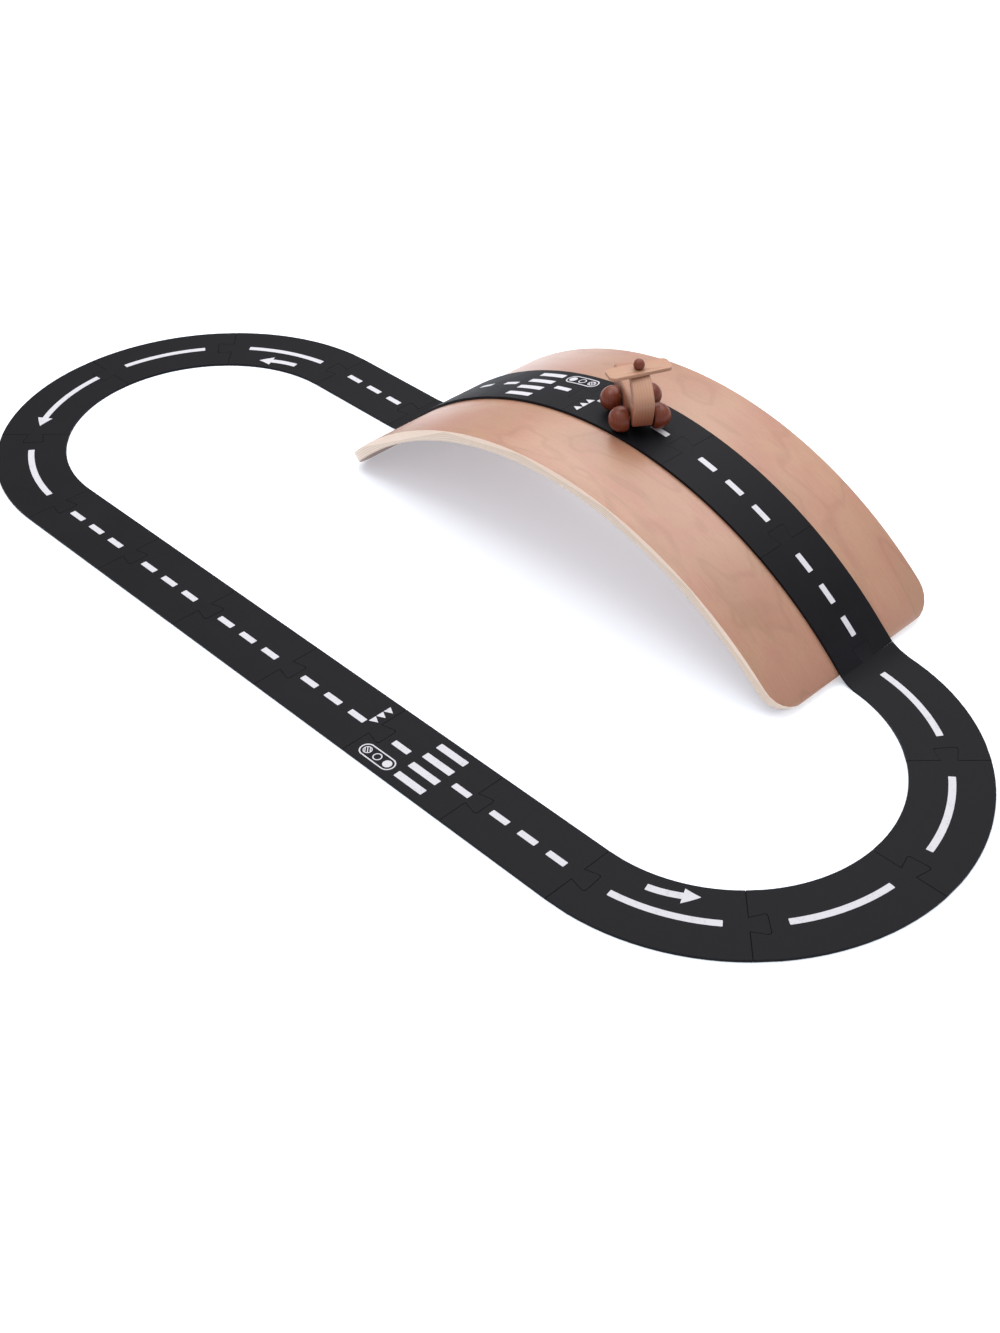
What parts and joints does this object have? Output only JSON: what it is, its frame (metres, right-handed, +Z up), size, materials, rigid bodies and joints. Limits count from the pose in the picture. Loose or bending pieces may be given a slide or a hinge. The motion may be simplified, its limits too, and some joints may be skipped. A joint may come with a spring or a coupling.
{
  "type": "car track set",
  "caption": "Closed loop of flexible road pieces hooked together by dovetail tabs, climbing over a bent plywood bridge, with a wooden ball-wheeled vehicle carrying a spinning rotor.",
  "frame": {"origin": "middle of the bounding box, on the floor", "axes": "+X along the straights towards the end where the bridge stands nearer, +Y from the front straight to the bridge, +Z up"},
  "size_m": [1.573, 0.684, 0.273],
  "materials": {
    "road": "matte",
    "plywood": "satin lacquer",
    "beech": "satin oil",
    "stained_beech": "satin stain"
  },
  "bodies": {
    "arch": {"arch_board": "plywood"},
    "raised_road": {"right_curve_4": "road", "arch_road_1": "road", "arch_road_2": "road", "arch_road_3": "road", "arch_crossing": "road", "arch_short_road": "road", "ramp_road": "road"},
    "front_road_1": {"front_road_1": "road"},
    "front_road_2": {"front_road_2": "road"},
    "front_road_3": {"front_road_3": "road"},
    "front_road_4": {"front_road_4": "road"},
    "front_crossing": {"front_crossing": "road"},
    "front_road_5": {"front_road_5": "road"},
    "right_curve_1": {"right_curve_1": "road"},
    "right_curve_2": {"right_curve_2": "road"},
    "right_curve_3": {"right_curve_3": "road"},
    "back_road": {"back_road": "road"},
    "left_curve_1": {"left_curve_1": "road"},
    "left_curve_2": {"left_curve_2": "road"},
    "left_curve_3": {"left_curve_3": "road"},
    "left_curve_4": {"left_curve_4": "road"},
    "vehicle": {"fuselage": "beech", "rotor_pin": "beech", "rotor_knob": "stained_beech"},
    "rotor": {"rotor_blade": "beech"},
    "front_wheels": {"front_axle": "beech", "front_left_wheel": "stained_beech", "front_right_wheel": "stained_beech"},
    "rear_wheels": {"rear_axle": "beech", "rear_left_wheel": "stained_beech", "rear_right_wheel": "stained_beech"}
  },
  "joints": [
    {"name": "raised_road_lift", "type": "slide", "parent": "arch", "child": "raised_road", "axis": [0, 0, 1], "range_m": [0, 0.06]},
    {"name": "front_road_1_lift", "type": "slide", "parent": "arch", "child": "front_road_1", "axis": [0, 0, 1], "range_m": [0, 0.06]},
    {"name": "front_road_2_lift", "type": "slide", "parent": "arch", "child": "front_road_2", "axis": [0, 0, 1], "range_m": [0, 0.06]},
    {"name": "front_road_3_lift", "type": "slide", "parent": "arch", "child": "front_road_3", "axis": [0, 0, 1], "range_m": [0, 0.06]},
    {"name": "front_road_4_lift", "type": "slide", "parent": "arch", "child": "front_road_4", "axis": [0, 0, 1], "range_m": [0, 0.06]},
    {"name": "front_crossing_lift", "type": "slide", "parent": "arch", "child": "front_crossing", "axis": [0, 0, 1], "range_m": [0, 0.06]},
    {"name": "front_road_5_lift", "type": "slide", "parent": "arch", "child": "front_road_5", "axis": [0, 0, 1], "range_m": [0, 0.06]},
    {"name": "right_curve_1_lift", "type": "slide", "parent": "arch", "child": "right_curve_1", "axis": [0, 0, 1], "range_m": [0, 0.06]},
    {"name": "right_curve_2_lift", "type": "slide", "parent": "arch", "child": "right_curve_2", "axis": [0, 0, 1], "range_m": [0, 0.06]},
    {"name": "right_curve_3_lift", "type": "slide", "parent": "arch", "child": "right_curve_3", "axis": [0, 0, 1], "range_m": [0, 0.06]},
    {"name": "back_road_lift", "type": "slide", "parent": "arch", "child": "back_road", "axis": [0, 0, 1], "range_m": [0, 0.06]},
    {"name": "left_curve_1_lift", "type": "slide", "parent": "arch", "child": "left_curve_1", "axis": [0, 0, 1], "range_m": [0, 0.06]},
    {"name": "left_curve_2_lift", "type": "slide", "parent": "arch", "child": "left_curve_2", "axis": [0, 0, 1], "range_m": [0, 0.06]},
    {"name": "left_curve_3_lift", "type": "slide", "parent": "arch", "child": "left_curve_3", "axis": [0, 0, 1], "range_m": [0, 0.06]},
    {"name": "left_curve_4_lift", "type": "slide", "parent": "arch", "child": "left_curve_4", "axis": [0, 0, 1], "range_m": [0, 0.06]},
    {"name": "vehicle_lift", "type": "slide", "parent": "raised_road", "child": "vehicle", "axis": [0.0212, 0, 0.9998], "range_m": [0, 0.06]},
    {"name": "rotor_spin", "type": "hinge", "parent": "vehicle", "child": "rotor", "pos_m": [0.11988, 0.19019, 0.25586], "axis": [0.0212, 0, 0.9998], "continuous": true},
    {"name": "front_wheels_roll", "type": "hinge", "parent": "vehicle", "child": "front_wheels", "pos_m": [0.13112, 0.1818, 0.19921], "axis": [0.5591, 0.829, -0.0119], "continuous": true},
    {"name": "rear_wheels_roll", "type": "hinge", "parent": "vehicle", "child": "rear_wheels", "pos_m": [0.0905, 0.2092, 0.20008], "axis": [0.5591, 0.829, -0.0119], "continuous": true}
  ]
}
